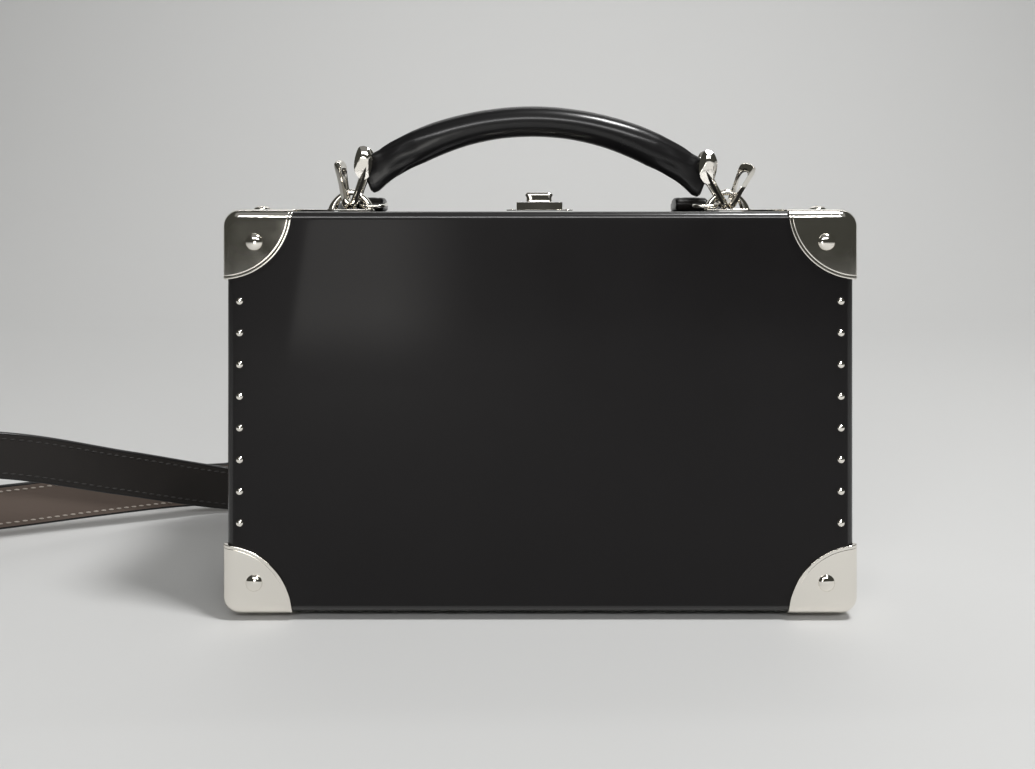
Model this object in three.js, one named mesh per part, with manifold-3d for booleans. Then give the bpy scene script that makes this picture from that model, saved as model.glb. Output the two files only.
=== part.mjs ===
// A small hard case worn as a handbag: two leather-covered shells, metal corners, a rolled
// handle on twisted links, a turn lock on top and a long leather shoulder strap.
// Millimetres. X to the right, Y away from the front panel, Z up. The origin is the middle
// of the case's underside.

import * as THREE from 'three';
import { mergeVertices } from 'three/addons/utils/BufferGeometryUtils.js';
import Module from 'manifold-3d';

const wasm = await Module();
wasm.setup();

// Case: leather over board, split into a deep back shell and a shallow lid
const caseWidth = 217;
const caseHeight = 138.6;
const caseDepth = 80;
const lidDepth = 30;
const wall = 3;
const cornerRadius = 4.6;
const edgeRadius = 2.5;
const seamRadius = 1.5;
const seamGap = 0.3;
const restPanelHalfWidth = 80;
const restPanelFront = -1;

// Clearance between pieces that sit on each other or run in each other
const gap = 0.3;

// Metal corners
const cornerReach = 24.3;
const cornerSideThickness = 1.2;
const cornerThickness = 0.5;
const cornerOuterRadius = 6;
const cornerEdgeRadius = 3.2;
const cornerRivetInset = 11.3;
const cornerRivetDiameter = 5.8;
const cornerRivetHeight = 1.3;
const footHeight = 2;

// Row of dome nails down each side of the front and back panels, between the metal corners
const nailCount = 8;
const nailDiameter = 2.7;
const nailHeight = 1;
const nailInset = 4.2;
const nailSpace = 7.5;

// Turn lock on the top, across the seam
const lockPlateWidth = 24;
const lockPlateDepth = 8.6;
const lockPlateThickness = 0.4;
const lockBlockWidth = 16.8;
const lockBlockThickness = 2.4;
const lockBlockFront = 8;
const lockBlockBack = 10.8;
const spindleRadius = 1.5;
const slotGap = 0.5;
const spindleBehindSeam = 6.6;
const knobWidth = 10.5;
const knobDepth = 4.6;
const knobHeight = 3.5;
const knobWaist = 0.82;

// Hinge along the seam under the case
const hingeLength = 120;
const knuckleRadius = 1;
const pinRadius = 0.35;
const pinBore = 0.65;
const hingeAxisDrop = 0.9;
const leafDepth = 8;
const leafThickness = 0.6;

// Rolled handle with flattened ends, between the loops. It hangs a little to the left, with
// its left end a little higher.
const handleShort = 6.8;
const handleArcTop = 34.5;
const handleArcRise = 23;
const handleThickness = 11.7;
const handleShift = 1.3;
const handleTilt = 0.7;
const tabWidth = 16.3;
const tabThickness = 5.2;
const tabLift = 1.85;
const eyeletInset = 1.6;
const eyeletRaise = 5.2;

// Half-round loops that carry the handle
const loopInset = 36.5;
const loopHalfWidth = 8.9;
const loopHeight = 8.4;
const loopHoleHalfWidth = 5.3;
const loopHoleHeight = 5.2;
const loopThickness = 3.6;
const loopSteepness = 1.25;
const loopPlateThickness = 0.7;
const loopPlateDepth = 7.4;

// Twisted links. The inner ones carry the handle and are forged out to a leaf on each cheek.
const linkWire = 2.6;
const linkHalfWidth = 4.6;
const innerLinkTwist = 10;
const outerLinkTwist = { left: 12, right: 42 };
const outerLinkLength = 15.6;
const outerLinkLean = { left: 10, right: 31 };
const leafHalf = { wide: 3.6, thick: 1.5, long: 6.6 };
const leafOut = 1.6;

// Rings that join the shoulder strap to the loops
const ringWire = 1.4;
const ringLength = 8.7;
const ringFrontY = -2.9;
const ringBackY = 8.8;
const ringCornerRadius = 2.6;
const ringTilt = 0.9;

// Shoulder strap
const strapWidth = 19.5;
const strapThickness = 2.8;
const strapEndWidth = 12.4;
const strapEndThickness = 5.2;
const strapEndLap = 2.6;
const strapFold = 6.4;
const strapReach = 368;
const strapSweep = 70;
// How far outside the middle of its ring the strap lies, at its end and at the back edge
const strapEndOut = { left: 3.25, right: -4 };
const strapEdgeOut = { left: 11.25, right: 4 };

// Heights and places worked out from the sizes above
const seamY = lidDepth - caseDepth / 2;
const lidSeamY = seamY - seamGap / 2;
const backSeamY = seamY + seamGap / 2;
const frontY = -caseDepth / 2;
const backY = caseDepth / 2;
const topSeat = caseHeight + gap;
const cornerProud = gap + cornerThickness;
const cornerSideProud = gap + cornerSideThickness;
const floorZ = -(cornerProud + footHeight);
const loopPlateTop = topSeat + loopPlateThickness;
const linkFootZ = loopPlateTop + gap + linkWire / 2;
const lockPlateTop = topSeat + lockPlateThickness;
const lockBlockTop = lockPlateTop + gap + lockBlockThickness;
const strapTopZ = topSeat + gap + strapThickness / 2;
const ringZ = topSeat + strapEndThickness / 2;
const loopCentre = caseWidth / 2 - loopInset;
const ringOuterX = loopCentre - loopHoleHalfWidth + ringWire;
const ringInnerX = ringOuterX - ringLength;
const ringMiddleX = (ringOuterX + ringInnerX) / 2;
const innerLinkFoot = ringOuterX + ringWire / 2 + 2 * gap + linkWire / 2;
const outerLinkFoot = innerLinkFoot + linkWire + gap;
const handleHalfSpan = loopCentre - handleShort;
const handleArcRadius = (handleHalfSpan ** 2 + handleArcRise ** 2) / (2 * handleArcRise);
const handleHalfAngle = Math.asin(handleHalfSpan / handleArcRadius);
const handleHalfLength = handleArcRadius * handleHalfAngle;
const nailLowest = cornerReach - cornerProud + nailSpace;
const nailHighest = caseHeight - cornerReach + cornerProud - nailSpace;

// Finishes
const finishes = {
  leather: { color: 0x1b1a1a, roughness: 0.42, metalness: 0 },
  handleLeather: { color: 0x121112, roughness: 0.22, metalness: 0 },
  strapLeather: { color: 0x1d1b1a, roughness: 0.5, metalness: 0 },
  nickel: { color: 0xd9d6cf, roughness: 0.12, metalness: 1 },
};

const radians = THREE.MathUtils.degToRad;
const group = new THREE.Group();

function addPiece(name, geometry, finish) {
  const mesh = new THREE.Mesh(geometry, new THREE.MeshStandardMaterial(finishes[finish]));
  mesh.name = name;
  group.add(mesh);
  return mesh;
}

// Closed mesh between rings of equal point counts. An open loft gets a fan over each end.
function loft(rings, { loop = false } = {}) {
  const count = rings[0].length;
  const points = rings.flat();
  const triangles = [];
  const steps = loop ? rings.length : rings.length - 1;
  for (let i = 0; i < steps; i++) {
    const next = (i + 1) % rings.length;
    for (let j = 0; j < count; j++) {
      const a = i * count + j;
      const b = i * count + ((j + 1) % count);
      const c = next * count + ((j + 1) % count);
      const d = next * count + j;
      triangles.push([a, b, c], [a, c, d]);
    }
  }
  if (!loop) {
    [0, rings.length - 1].forEach((end, k) => {
      const middle = points.length;
      points.push(centreOf(rings[end]));
      for (let j = 0; j < count; j++) {
        const a = end * count + j;
        const b = end * count + ((j + 1) % count);
        triangles.push(k === 0 ? [b, a, middle] : [a, b, middle]);
      }
    });
  }
  return outward(points, triangles);
}

function centreOf(ring) {
  const sum = ring.reduce((total, p) => total.add(p), new THREE.Vector3());
  return sum.divideScalar(ring.length);
}

function outward(points, triangles) {
  const volume = triangles.reduce(
    (total, [a, b, c]) => total + points[a].dot(points[b].clone().cross(points[c])), 0);
  const faces = volume < 0 ? triangles.map(([a, b, c]) => [a, c, b]) : triangles;
  const geometry = new THREE.BufferGeometry();
  geometry.setAttribute('position',
    new THREE.Float32BufferAttribute(points.flatMap((p) => [p.x, p.y, p.z]), 3));
  geometry.setIndex(faces.flat());
  return geometry;
}

// Solids for joining and cutting
function toSolid(geometry) {
  const bare = geometry.clone();
  bare.deleteAttribute('normal');
  bare.deleteAttribute('uv');
  const merged = mergeVertices(bare, 1e-4);
  const mesh = new wasm.Mesh({
    numProp: 3,
    vertProperties: new Float32Array(merged.attributes.position.array),
    triVerts: new Uint32Array(merged.index.array),
  });
  return new wasm.Manifold(mesh);
}

function toGeometry(solid) {
  const mesh = solid.getMesh();
  const geometry = new THREE.BufferGeometry();
  geometry.setAttribute('position', new THREE.BufferAttribute(mesh.vertProperties, 3));
  geometry.setIndex(new THREE.BufferAttribute(mesh.triVerts, 1));
  return geometry;
}

function boxSolid(min, max) {
  const size = new THREE.Vector3().subVectors(max, min);
  const geometry = new THREE.BoxGeometry(size.x, size.y, size.z);
  geometry.translate(...new THREE.Vector3().addVectors(min, max).divideScalar(2).toArray());
  return toSolid(geometry);
}

function rodSolid(radius, from, to, sides) {
  const along = new THREE.Vector3().subVectors(to, from);
  const geometry = new THREE.CylinderGeometry(radius, radius, along.length(), sides);
  const turn = new THREE.Quaternion().setFromUnitVectors(
    new THREE.Vector3(0, 1, 0), along.clone().normalize());
  geometry.applyQuaternion(turn);
  geometry.translate(...new THREE.Vector3().addVectors(from, to).divideScalar(2).toArray());
  return toSolid(geometry);
}

// Rounded rectangle in a plane of constant y, with two extra points on its lower side
function outlineRing({ width, height, radius, y, lowerHalf = width / 4 }) {
  const cornerSteps = 5;
  const halfX = width / 2 - radius;
  const halfZ = height / 2 - radius;
  const corners = [[1, 1, 0], [-1, 1, 90], [-1, -1, 180], [1, -1, 270]];
  const ring = [];
  corners.forEach(([sx, sz, start]) => {
    for (let i = 0; i <= cornerSteps; i++) {
      const angle = radians(start + (90 * i) / cornerSteps);
      ring.push(new THREE.Vector3(
        sx * halfX + radius * Math.cos(angle), y,
        caseHeight / 2 + sz * halfZ + radius * Math.sin(angle)));
    }
    if (sx < 0 && sz < 0) {
      ring.push(new THREE.Vector3(-lowerHalf, y, (caseHeight - height) / 2));
      ring.push(new THREE.Vector3(lowerHalf, y, (caseHeight - height) / 2));
    }
  });
  return ring;
}

function caseRing(inset, y) {
  return outlineRing({
    width: caseWidth - 2 * inset,
    height: caseHeight - 2 * inset,
    radius: Math.max(cornerRadius - inset, cornerRadius / 4),
    y,
    lowerHalf: restPanelHalfWidth,
  });
}

// Quarter-round from (radius, 0) to (0, radius) in a few steps: inset and distance along y
function quarterRound(radius, steps) {
  return Array.from({ length: steps + 1 }, (_, i) => {
    const angle = radians((90 * i) / steps);
    return { inset: radius * (1 - Math.sin(angle)), along: radius * (1 - Math.cos(angle)) };
  });
}

// One hollow half of the case, open at the seam
function caseShell({ openY, closedY, splits = [] }) {
  const way = Math.sign(closedY - openY);
  const closedEdge = quarterRound(edgeRadius, 3)
    .map(({ inset, along }) => caseRing(inset, closedY - way * along));
  const openEdge = quarterRound(seamRadius, 2)
    .map(({ inset, along }) => caseRing(inset, openY + way * along))
    .reverse();
  return loft([
    ...closedEdge,
    ...splits.map((y) => caseRing(0, y)),
    ...openEdge,
    caseRing(wall, openY),
    caseRing(wall, closedY - way * wall),
  ]);
}

// Full rounded block that stands proud of the case by given amounts
function proudBlock({ side, face, radius, edge }) {
  const ends = [[frontY - face, 1], [backY + face, -1]].map(([y, way]) =>
    quarterRound(edge, 4).map(({ inset, along }) => outlineRing({
      width: caseWidth + 2 * (side - inset),
      height: caseHeight + 2 * (face - inset),
      radius: Math.max(radius - inset, radius / 4),
      y: y + way * along,
    })));
  return toSolid(loft([...ends[0], ...ends[1].reverse()]));
}

// Low dome on a short neck; its axis is +Z and its base lies at z = -sink
function domeGeometry({ diameter, height, sink, sides, steps }) {
  const radius = diameter / 2;
  const profile = [new THREE.Vector2(0, -sink), new THREE.Vector2(radius, -sink)];
  for (let i = 0; i < steps; i++) {
    const angle = radians((90 * i) / steps);
    profile.push(new THREE.Vector2(radius * Math.cos(angle), height * Math.sin(angle)));
  }
  profile.push(new THREE.Vector2(0, height));
  const geometry = new THREE.LatheGeometry(profile, sides);
  geometry.rotateX(Math.PI / 2);
  return geometry;
}

function domeSolid(point, direction, height) {
  const geometry = domeGeometry({
    diameter: cornerRivetDiameter, height, sink: cornerThickness / 2, sides: 10, steps: 3,
  });
  const turn = new THREE.Quaternion().setFromUnitVectors(
    new THREE.Vector3(0, 0, 1), direction);
  geometry.applyQuaternion(turn);
  geometry.translate(point.x, point.y, point.z);
  return toSolid(geometry);
}

// Metal corner with a rivet on each of its three faces; the lower rivet is a foot
function cornerPiece(blank, sx, sy, sz) {
  const corner = new THREE.Vector3(
    sx * (caseWidth / 2 + cornerSideProud),
    sy * (caseDepth / 2 + cornerProud),
    caseHeight / 2 + sz * (caseHeight / 2 + cornerProud));
  const ball = new THREE.SphereGeometry(cornerReach, 36, 18);
  ball.translate(corner.x, corner.y, corner.z);
  const inset = cornerRivetInset;
  const at = (dx, dy, dz) => new THREE.Vector3(
    corner.x - sx * dx, corner.y - sy * dy, corner.z - sz * dz);
  const rivets = [
    domeSolid(at(inset, 0, inset), new THREE.Vector3(0, sy, 0), cornerRivetHeight),
    domeSolid(at(inset, inset, 0), new THREE.Vector3(0, 0, sz),
      sz < 0 ? footHeight : cornerRivetHeight),
    domeSolid(at(0, inset, inset), new THREE.Vector3(sx, 0, 0), cornerRivetHeight),
  ];
  const plate = blank.intersect(toSolid(ball));
  return toGeometry(rivets.reduce((whole, rivet) => whole.add(rivet), plate));
}

function addCorners() {
  const outer = proudBlock({
    side: cornerSideProud, face: cornerProud, radius: cornerOuterRadius, edge: cornerEdgeRadius,
  });
  const inner = proudBlock({
    side: gap, face: gap, radius: cornerRadius + gap, edge: edgeRadius + gap,
  });
  const blank = outer.subtract(inner);
  [['lid', -1], ['back', 1]].forEach(([half, sy]) => {
    [['bottom', -1], ['top', 1]].forEach(([level, sz]) => {
      [['left', -1], ['right', 1]].forEach(([side, sx]) => {
        addPiece(`corner_${half}_${level}_${side}`, cornerPiece(blank, sx, sy, sz), 'nickel');
      });
    });
  });
}

function addNails() {
  const head = domeGeometry({
    diameter: nailDiameter, height: nailHeight, sink: 0, sides: 10, steps: 2,
  });
  [['lid', -1], ['back', 1]].forEach(([half, sy]) => {
    [['left', -1], ['right', 1]].forEach(([side, sx]) => {
      for (let i = 0; i < nailCount; i++) {
        const nail = addPiece(`nail_${half}_${side}_${i + 1}`, head.clone(), 'nickel');
        nail.rotation.x = -sy * Math.PI / 2;
        nail.position.set(
          sx * (caseWidth / 2 - nailInset),
          sy * (caseDepth / 2 + gap / 3),
          THREE.MathUtils.lerp(nailLowest, nailHighest, i / (nailCount - 1)));
      }
    });
  });
}

function addLock() {
  const spindleY = seamY + spindleBehindSeam;
  const plateBack = boxSolid(
    new THREE.Vector3(-lockPlateWidth / 2, backSeamY + seamRadius, topSeat),
    new THREE.Vector3(lockPlateWidth / 2, backSeamY + seamRadius + lockPlateDepth, lockPlateTop));
  addPiece('lock_plate', toGeometry(plateBack), 'nickel');

  const plateLid = boxSolid(
    new THREE.Vector3(-lockPlateWidth / 2, lidSeamY - seamRadius - lockPlateDepth, topSeat),
    new THREE.Vector3(lockPlateWidth / 2, lidSeamY - seamRadius, lockPlateTop));
  const block = boxSolid(
    new THREE.Vector3(-lockBlockWidth / 2, seamY - lockBlockFront, lockPlateTop + gap),
    new THREE.Vector3(lockBlockWidth / 2, seamY + lockBlockBack, lockBlockTop));
  const neck = boxSolid(
    new THREE.Vector3(-lockBlockWidth / 2, seamY - lockBlockFront, lockPlateTop),
    new THREE.Vector3(lockBlockWidth / 2, lidSeamY - seamRadius, lockBlockTop));
  const slotHalf = spindleRadius + slotGap;
  const slot = boxSolid(
    new THREE.Vector3(-slotHalf, spindleY, topSeat),
    new THREE.Vector3(slotHalf, seamY + lockBlockBack + gap, lockBlockTop + gap));
  const slotEnd = rodSolid(slotHalf / Math.cos(Math.PI / 16),
    new THREE.Vector3(0, spindleY - slotGap, topSeat),
    new THREE.Vector3(0, spindleY - slotGap, lockBlockTop + gap), 16);
  const hasp = plateLid.add(neck).add(block).subtract(slot).subtract(slotEnd);
  addPiece('lock_hasp', toGeometry(hasp), 'nickel');
  addPiece('lock_knob', knobGeometry(spindleY), 'nickel');
}

// Turning knob: a waisted bar with round ends on a round spindle
function knobGeometry(spindleY) {
  const barBottom = lockBlockTop + gap;
  const rows = [
    { share: 0, scale: 0.9 },
    { share: 0.3, scale: knobWaist },
    { share: 0.65, scale: 0.9 },
    { share: 0.85, scale: 1 },
    { share: 1, scale: 0.93 },
  ];
  const sides = 20;
  const rings = rows.map(({ share, scale }) => Array.from({ length: sides }, (_, i) => {
    const angle = (2 * Math.PI * (i + 0.5)) / sides;
    const round = (value) => Math.sign(value) * Math.abs(value) ** 0.45;
    return new THREE.Vector3(
      (knobWidth / 2) * scale * round(Math.cos(angle)),
      spindleY + (knobDepth / 2) * scale * round(Math.sin(angle)),
      barBottom + knobHeight * share);
  }));
  const spindle = rodSolid(spindleRadius,
    new THREE.Vector3(0, spindleY, lockPlateTop + gap),
    new THREE.Vector3(0, spindleY, barBottom + knobHeight / 2), 14);
  return toGeometry(toSolid(loft(rings)).add(spindle));
}

// Hinge leaf with its knuckles: way is -1 under the lid and 1 under the back shell
function hingeLeaf(way, knuckles) {
  const seatZ = -gap;
  const axisZ = -hingeAxisDrop;
  const nearY = seamY + way * (knuckleRadius + gap);
  const farY = seamY + way * leafDepth;
  const half = hingeLength / 2;
  let leaf = boxSolid(
    new THREE.Vector3(-half, Math.min(nearY, farY), seatZ - leafThickness),
    new THREE.Vector3(half, Math.max(nearY, farY), seatZ));
  knuckles.forEach(([from, to]) => {
    const web = boxSolid(
      new THREE.Vector3(from, Math.min(seamY, nearY + way * gap), seatZ - leafThickness),
      new THREE.Vector3(to, Math.max(seamY, nearY + way * gap), seatZ));
    const barrel = rodSolid(knuckleRadius,
      new THREE.Vector3(from, seamY, axisZ), new THREE.Vector3(to, seamY, axisZ), 12);
    leaf = leaf.add(web).add(barrel);
  });
  return leaf;
}

function addHinge() {
  const half = hingeLength / 2;
  const third = hingeLength / 6;
  const axisZ = -hingeAxisDrop;
  const pin = rodSolid(pinRadius,
    new THREE.Vector3(-half, seamY, axisZ), new THREE.Vector3(half, seamY, axisZ), 8);
  const bore = rodSolid(pinBore,
    new THREE.Vector3(-third, seamY, axisZ), new THREE.Vector3(third, seamY, axisZ), 12);
  const back = hingeLeaf(1, [[-half, -third - gap / 2], [third + gap / 2, half]]);
  const lid = hingeLeaf(-1, [[-third + gap / 2, third - gap / 2]]);
  addPiece('hinge_back', toGeometry(back.add(pin)), 'nickel');
  addPiece('hinge_lid', toGeometry(lid.subtract(bore)), 'nickel');
}

// Handle sections from the middle to one end. along is the share of the half arc, flare and
// press are how far the section has gone from the round roll to the flat end, upright is how
// far its plane has turned to stand vertically, full scales the whole section and lift is how
// far the end is raised off the arc.
const handleSections = [
  { along: 0, flare: 0, press: 0, upright: 0, full: 1, lift: 0 },
  { along: 0.2, flare: 0, press: 0, upright: 0, full: 1, lift: 0 },
  { along: 0.4, flare: 0.1, press: 0.04, upright: 0, full: 1, lift: 0 },
  { along: 0.54, flare: 0.24, press: 0.12, upright: 0, full: 1, lift: 0 },
  { along: 0.66, flare: 0.3, press: 0.3, upright: 0, full: 1, lift: 0 },
  { along: 0.76, flare: 0.17, press: 0.55, upright: 0, full: 1, lift: 0 },
  { along: 0.85, flare: 0.06, press: 0.82, upright: 0.02, full: 1, lift: 0 },
  { along: 0.92, flare: 0.3, press: 0.96, upright: 0.12, full: 1, lift: 0.15 },
  { along: 0.965, flare: 0.75, press: 1, upright: 0.32, full: 1, lift: 0.5 },
  { along: 0.99, flare: 1, press: 1, upright: 0.46, full: 0.94, lift: 0.9 },
  { along: 1, flare: 1, press: 1, upright: 0.5, full: 0.8, lift: 1 },
];

function handlePoint(along) {
  const angle = handleHalfAngle * along;
  const aside = handleArcRadius * Math.sin(angle);
  return new THREE.Vector3(
    aside - handleShift, 0,
    caseHeight + handleArcTop - handleArcRadius * (1 - Math.cos(angle))
      - aside * Math.tan(radians(handleTilt)));
}

function handleRing({ along, flare, press, upright, full, lift }, side) {
  const sides = 14;
  const tilt = side * handleHalfAngle * along * (1 - upright);
  const middle = handlePoint(side * along);
  middle.z += tabLift * lift;
  const upAxis = new THREE.Vector3(Math.sin(tilt), 0, Math.cos(tilt));
  const height = THREE.MathUtils.lerp(handleThickness, tabWidth, flare) * full;
  const depth = THREE.MathUtils.lerp(handleThickness, tabThickness, press) * full;
  const bluntness = THREE.MathUtils.lerp(1, 0.62, press);
  return Array.from({ length: sides }, (_, i) => {
    const turn = (2 * Math.PI * i) / sides;
    const blunt = (value) => Math.sign(value) * Math.abs(value) ** bluntness;
    return middle.clone()
      .addScaledVector(upAxis, (height / 2) * blunt(Math.cos(turn)))
      .add(new THREE.Vector3(0, (depth / 2) * blunt(Math.sin(turn)), 0));
  });
}

function addHandle(cutters) {
  const leftHalf = handleSections.slice(1).reverse().map((row) => handleRing(row, -1));
  const rightHalf = handleSections.map((row) => handleRing(row, 1));
  const roll = toSolid(loft([...leftHalf, ...rightHalf]));
  const drilled = cutters.reduce((whole, cutter) => whole.subtract(cutter), roll);
  addPiece('handle', toGeometry(drilled), 'handleLeather');
}

// Arch on a thin plate, half-round inside and steeper outside. A section runs from the hole to
// the outer edge, with its four edges broken.
function loopSolid(middleX) {
  const steps = 14;
  const halfY = loopThickness / 2;
  const chamfer = loopThickness / 6;
  const rings = Array.from({ length: steps + 1 }, (_, i) => {
    const angle = (Math.PI * i) / steps;
    const steep = (value) => Math.sign(value) * Math.abs(value) ** loopSteepness;
    const outer = new THREE.Vector2(
      loopHalfWidth * steep(Math.cos(angle)), loopHeight * steep(Math.sin(angle)));
    const inner = new THREE.Vector2(
      loopHoleHalfWidth * Math.cos(angle),
      loopPlateThickness * Math.sin(angle) + loopHoleHeight * Math.sin(angle));
    const radial = outer.clone().sub(inner).normalize().multiplyScalar(chamfer);
    const corner = (point, way, y) => new THREE.Vector3(
      middleX + point.x + way * radial.x, y, topSeat + point.y + way * radial.y);
    return [
      corner(outer, 0, halfY - chamfer), corner(outer, -1, halfY),
      corner(inner, 1, halfY), corner(inner, 0, halfY - chamfer),
      corner(inner, 0, chamfer - halfY), corner(inner, 1, -halfY),
      corner(outer, -1, -halfY), corner(outer, 0, chamfer - halfY),
    ];
  });
  const plate = boxSolid(
    new THREE.Vector3(middleX - loopHalfWidth, -loopPlateDepth / 2, topSeat),
    new THREE.Vector3(middleX + loopHalfWidth, loopPlateDepth / 2, loopPlateTop));
  return toSolid(loft(rings)).add(plate);
}

function addLoops() {
  addPiece('loop_left', toGeometry(loopSolid(-loopCentre)), 'nickel');
  addPiece('loop_right', toGeometry(loopSolid(loopCentre)), 'nickel');
}

// Closed wire of six sides along a list of points round a middle
function wireGeometry(points, wire) {
  const sides = 6;
  const middle = centreOf(points);
  const rings = points.map((point, i) => {
    const before = points[(i + points.length - 1) % points.length];
    const after = points[(i + 1) % points.length];
    const along = new THREE.Vector3().subVectors(after, before).normalize();
    const away = new THREE.Vector3().subVectors(point, middle);
    away.addScaledVector(along, -away.dot(along)).normalize();
    const across = new THREE.Vector3().crossVectors(along, away);
    return Array.from({ length: sides }, (_, j) => {
      const angle = (2 * Math.PI * (j + 0.5)) / sides;
      return point.clone()
        .addScaledVector(away, (wire / 2) * Math.cos(angle))
        .addScaledVector(across, (wire / 2) * Math.sin(angle));
    });
  });
  return loft(rings, { loop: true });
}

// Centre line of a link that stands on its foot: its foot runs front to back through the
// loop, and towards its head it is turned so that its front limb lies further out.
function linkPath(foot, head, twist) {
  const steps = 20;
  const lengthwise = new THREE.Vector3().subVectors(head, foot);
  const half = lengthwise.length() / 2;
  const up = lengthwise.normalize();
  const outwardWay = Math.sign(foot.x);
  const out = new THREE.Vector3(up.z * outwardWay, 0, -up.x * outwardWay);
  const middle = new THREE.Vector3().addVectors(foot, head).divideScalar(2);
  const straight = half - linkHalfWidth;
  return Array.from({ length: steps }, (_, i) => {
    const angle = (2 * Math.PI * (i + 0.5)) / steps;
    const rise = linkHalfWidth * Math.cos(angle) + straight * Math.sign(Math.cos(angle));
    const turn = radians(twist) * (1 + rise / half) / 2;
    const aside = linkHalfWidth * Math.sin(angle);
    return middle.clone().addScaledVector(up, rise)
      .addScaledVector(out, -aside * Math.sin(turn))
      .add(new THREE.Vector3(0, aside * Math.cos(turn), 0));
  });
}

function eyeletPoint(sx) {
  const point = handlePoint(sx * (1 - eyeletInset / handleHalfLength));
  point.z += eyeletRaise;
  return point;
}

function linkPaths() {
  const paths = {};
  [['left', -1], ['right', 1]].forEach(([side, sx]) => {
    const innerFoot = new THREE.Vector3(sx * innerLinkFoot, 0, linkFootZ);
    const innerHead = eyeletPoint(sx);
    const lean = radians(outerLinkLean[side]);
    const outerFoot = new THREE.Vector3(sx * outerLinkFoot, 0, linkFootZ);
    const outerHead = outerFoot.clone().add(new THREE.Vector3(
      sx * outerLinkLength * Math.sin(lean), 0, outerLinkLength * Math.cos(lean)));
    paths[`link_${side}_inner`] = linkPath(innerFoot, innerHead, innerLinkTwist);
    paths[`link_${side}_outer`] = linkPath(outerFoot, outerHead, outerLinkTwist[side]);
  });
  return paths;
}

// Inner link with a leaf on each cheek, either side of the handle's end
function innerLink(path, sx) {
  const head = eyeletPoint(sx);
  const clear = tabThickness / 2 + gap + leafHalf.thick;
  return [-1, 1].reduce((whole, sy) => {
    const leaf = new THREE.SphereGeometry(1, 14, 8);
    leaf.rotateX(Math.PI / 2);
    leaf.scale(leafHalf.wide, leafHalf.thick, leafHalf.long);
    leaf.translate(head.x + sx * leafOut, sy * clear, head.z);
    return whole.add(toSolid(leaf));
  }, toSolid(wireGeometry(path, linkWire)));
}

// Centre line of a strap ring: a rounded rectangle, lower where it passes through the loop
function ringPath(sx) {
  const cornerSteps = 3;
  const halfX = (ringOuterX - ringInnerX) / 2;
  const halfY = (ringBackY - ringFrontY) / 2;
  const middleY = (ringBackY + ringFrontY) / 2;
  const r = ringCornerRadius;
  const corners = [[1, 1, 0], [-1, 1, 90], [-1, -1, 180], [1, -1, 270]];
  return corners.flatMap(([cx, cy, start]) =>
    Array.from({ length: cornerSteps + 1 }, (_, i) => {
      const angle = radians(start + (90 * i) / cornerSteps);
      const x = cx * (halfX - r) + r * Math.cos(angle);
      const y = middleY + cy * (halfY - r) + r * Math.sin(angle);
      const forward = (ringBackY - y) / (ringBackY - ringFrontY);
      return new THREE.Vector3(sx * (ringMiddleX + x), y, ringZ - ringTilt * forward);
    }));
}

function strapX(side, out) {
  return side * (ringMiddleX + (side < 0 ? out.left : out.right));
}

// Strap from a ring to the back edge of the top. full is how far it has grown from the folded
// end to its whole width.
function strapOnTop(side) {
  const endX = strapX(side, strapEndOut);
  const foldY = ringBackY + strapFold;
  const row = (x, y, z, full) => ({ at: new THREE.Vector3(x, y, z), turn: 0, full });
  const flat = (share, full) => row(
    THREE.MathUtils.lerp(endX, strapX(side, strapEdgeOut), share),
    THREE.MathUtils.lerp(foldY, backY, share), strapTopZ, full);
  return [
    row(endX, ringBackY - strapEndLap, ringZ, 0), row(endX, foldY, ringZ, 0),
    flat(1 / 3, 0.7), flat(2 / 3, 1), flat(1, 1),
  ];
}

// Free part of the strap, from each top edge down behind the case and out to the left. out is
// the share of the way from the back edge's x to the far left, behind the share of the sweep
// behind the back panel, up the share of the case's height above the surface, and turn the
// angle of the strap's width from level to upright.
const rightRun = [
  { out: 0.002, behind: 0.121, up: 1.01, turn: 0 },
  { out: 0.008, behind: 0.2, up: 0.924, turn: 3 },
  { out: 0.024, behind: 0.271, up: 0.765, turn: 14 },
  { out: 0.055, behind: 0.386, up: 0.563, turn: 31 },
  { out: 0.119, behind: 0.529, up: 0.346, turn: 51 },
  { out: 0.206, behind: 0.657, up: 0.188, turn: 66 },
  { out: 0.307, behind: 0.729, up: 0.1, turn: 79 },
  { out: 0.397, behind: 0.757, up: 0.072, turn: 87 },
  { out: 0.481, behind: 0.729, up: 0.078, turn: 90 },
  { out: 0.58, behind: 0.386, up: 0.175, turn: 90 },
  { out: 0.674, behind: 0.023, up: 0.274, turn: 90 },
  { out: 0.771, behind: -0.343, up: 0.317, turn: 90 },
  { out: 0.857, behind: -0.657, up: 0.289, turn: 90 },
  { out: 0.933, behind: -0.8, up: 0.231, turn: 90 },
  { out: 0.991, behind: -0.657, up: 0.166, turn: 90 },
  { out: 1, behind: -0.329, up: 0.108, turn: 90 },
];
const leftRun = [
  { out: 0.002, behind: 0.129, up: 1.01, turn: 0 },
  { out: 0.004, behind: 0.243, up: 0.924, turn: 3 },
  { out: 0.01, behind: 0.429, up: 0.765, turn: 11 },
  { out: 0.022, behind: 0.686, up: 0.534, turn: 27 },
  { out: 0.064, behind: 0.886, up: 0.303, turn: 45 },
  { out: 0.143, behind: 0.971, up: 0.137, turn: 68 },
  { out: 0.239, behind: 0.943, up: 0.075, turn: 87 },
  { out: 0.345, behind: 0.821, up: 0.071, turn: 90 },
  { out: 0.444, behind: 0.614, up: 0.071, turn: 90 },
  { out: 0.553, behind: 0.357, up: 0.071, turn: 90 },
  { out: 0.699, behind: 0.071, up: 0.071, turn: 90 },
  { out: 0.829, behind: -0.057, up: 0.071, turn: 90 },
  { out: 0.938, behind: -0.114, up: 0.079, turn: 90 },
];

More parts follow.
